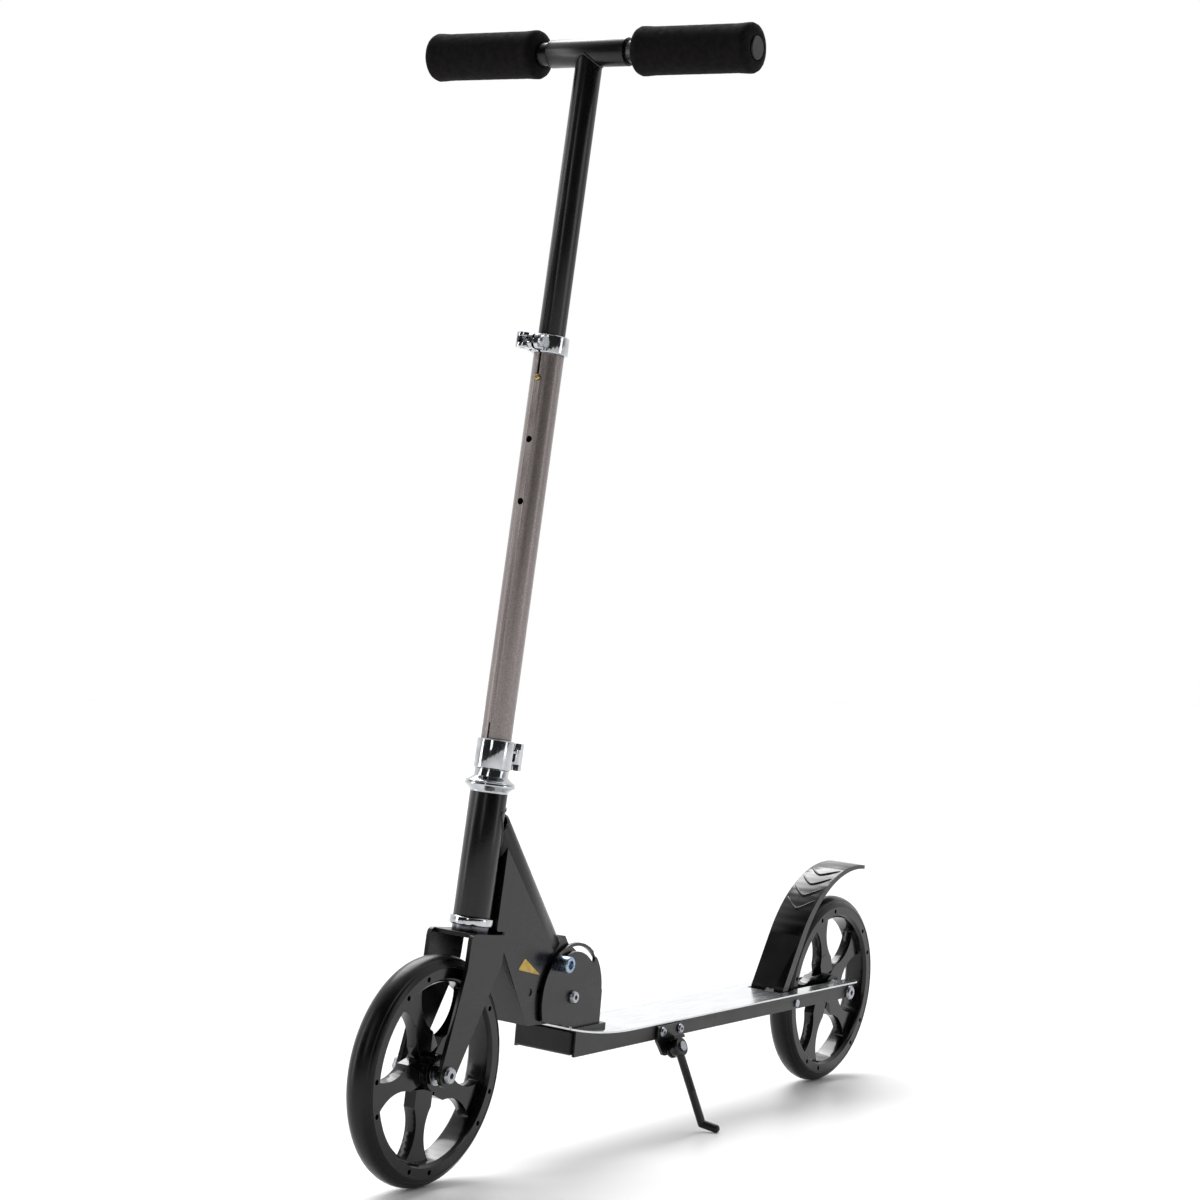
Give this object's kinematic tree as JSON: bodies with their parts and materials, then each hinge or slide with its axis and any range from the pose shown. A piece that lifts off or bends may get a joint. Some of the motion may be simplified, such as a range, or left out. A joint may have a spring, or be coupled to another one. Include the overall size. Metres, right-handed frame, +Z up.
{
  "type": "kick scooter",
  "caption": "Folding kick scooter with height-adjustable steering column, quick-release clamps, solid wheels, fender brake and side kickstand.",
  "frame": {"origin": "middle of the floor under the scooter, as it leans on its kickstand", "axes": "+Z up from the floor, +X towards the front wheel, +Y to the rider's left, which is the kickstand's side"},
  "size_m": [0.9265, 0.3402, 1.0247],
  "materials": {
    "deck_sheet": "bright mill finish with fine grip lines",
    "deck_paint": "satin dark grey powder coat",
    "black_paint": "semi-gloss black powder coat",
    "grey_paint": "satin warm grey powder coat",
    "chrome": "polished chrome plate",
    "zinc": "bright zinc plate",
    "barrel_zinc": "blue-passivated zinc plate",
    "wheel_core": "glossy moulded nylon",
    "tyre": "smooth cast polyurethane",
    "nose_plastic": "moulded matt plastic",
    "grip_rubber": "matt moulded foam rubber",
    "cap_plastic": "matt moulded plastic",
    "fender_paint": "glossy black powder coat",
    "brass": "turned brass",
    "spring_steel": "oiled spring steel"
  },
  "bodies": {
    "deck": {"deck_top": "deck_sheet", "deck_channel": "deck_paint", "nose_block": "nose_plastic", "bracket_base": "black_paint", "bracket_plate_left": "black_paint", "bracket_plate_right": "black_paint", "pivot_bolt": "zinc", "pivot_nut": "zinc", "nose_rivets": "zinc", "rear_axle_bolt": "zinc", "rear_axle_nut": "zinc", "rear_axle_spacers": "cap_plastic", "fender_pin": "zinc", "fender_spring": "spring_steel", "kickstand_bracket": "black_paint", "kickstand_bolts": "zinc", "kickstand_pin": "zinc"},
    "fender": {"rear_fender": "fender_paint"},
    "kickstand": {"kickstand_leg": "black_paint"},
    "rear_wheel": {"rear_tyre": "tyre", "rear_wheel_core": "wheel_core", "rear_bearings": "zinc", "rear_bearing_sleeve": "zinc"},
    "front_frame": {"head_tube": "black_paint", "down_tube": "black_paint", "gusset": "black_paint", "fold_lug": "black_paint", "headset_cup_upper": "chrome", "headset_cup_lower": "chrome", "lock_skewer": "zinc", "lock_nut": "barrel_zinc"},
    "fold_lever": {"fold_lever": "chrome"},
    "steering": {"fork_crown": "black_paint", "fork_leg_left": "black_paint", "fork_leg_right": "black_paint", "steerer_tube": "zinc", "headset_bearings": "spring_steel", "headset_dust_cap": "chrome", "lower_tube": "grey_paint", "lower_collar": "chrome", "lower_clamp_bolt": "zinc", "upper_collar": "chrome", "upper_clamp_bolt": "zinc", "front_axle_bolt": "zinc", "front_axle_nut": "zinc", "front_axle_spacers": "cap_plastic"},
    "lower_lever": {"lower_lever": "chrome"},
    "upper_lever": {"upper_lever": "chrome"},
    "front_wheel": {"front_tyre": "tyre", "front_wheel_core": "wheel_core", "front_bearings": "zinc", "front_bearing_sleeve": "zinc"},
    "stem": {"stem_tube": "black_paint", "handlebar_sleeve": "black_paint", "handlebar_tubes": "black_paint", "grip_left": "grip_rubber", "grip_right": "grip_rubber", "grip_end_caps": "cap_plastic", "button_spring": "spring_steel"},
    "spring_button": {"spring_button": "brass"}
  },
  "joints": [
    {"name": "fold", "type": "hinge", "parent": "deck", "child": "front_frame", "pos_m": [0.17075, -0.08466, 0.14634], "axis": [0, 0.995, -0.1002], "range_deg": [-84.6, 0]},
    {"name": "fold_lever_open", "type": "hinge", "parent": "front_frame", "child": "fold_lever", "pos_m": [0.19909, -0.10845, 0.18256], "axis": [-0.765, 0.0645, 0.6407], "range_deg": [-90, 0]},
    {"name": "steer", "type": "hinge", "parent": "front_frame", "child": "steering", "pos_m": [0.33448, -0.09939, 0.00007], "axis": [-0.0936, 0.0997, 0.9906], "range_deg": [-45, 45]},
    {"name": "lower_lever_open", "type": "hinge", "parent": "steering", "child": "lower_lever", "pos_m": [0.2725, -0.06224, 0.36537], "axis": [-0.0936, 0.0997, 0.9906], "range_deg": [-90, 0]},
    {"name": "upper_lever_open", "type": "hinge", "parent": "steering", "child": "upper_lever", "pos_m": [0.28879, -0.03851, 0.72945], "axis": [-0.0936, 0.0997, 0.9906], "range_deg": [0, 90]},
    {"name": "height", "type": "slide", "parent": "steering", "child": "stem", "axis": [-0.0936, 0.0997, 0.9906], "range_m": [-0.11, 0], "deforming": ["spring_button"]},
    {"name": "button_press", "type": "slide", "parent": "stem", "child": "spring_button", "axis": [0.9956, 0.0094, 0.0931], "range_m": [-0.003, 0], "stiffness_N_per_m": 800, "springref_m": 0.003, "deforming": ["button_spring"]},
    {"name": "front_wheel_spin", "type": "hinge", "parent": "steering", "child": "front_wheel", "pos_m": [0.36325, -0.08937, 0.09957], "axis": [0, 0.995, -0.1002], "continuous": true},
    {"name": "rear_wheel_spin", "type": "hinge", "parent": "deck", "child": "rear_wheel", "pos_m": [-0.36325, -0.08937, 0.09957], "axis": [0, 0.995, -0.1002], "continuous": true},
    {"name": "brake_press", "type": "hinge", "parent": "deck", "child": "fender", "pos_m": [-0.24425, -0.08932, 0.10007], "axis": [0, 0.995, -0.1002], "range_deg": [-8, 0], "stiffness_Nm_per_rad": 2, "springref_deg": 20.05, "deforming": ["fender_spring"]},
    {"name": "kickstand_fold", "type": "hinge", "parent": "deck", "child": "kickstand", "pos_m": [0.01475, -0.04958, 0.08049], "axis": [0.0623, 0.9498, 0.3067], "range_deg": [0, 75]}
  ]
}
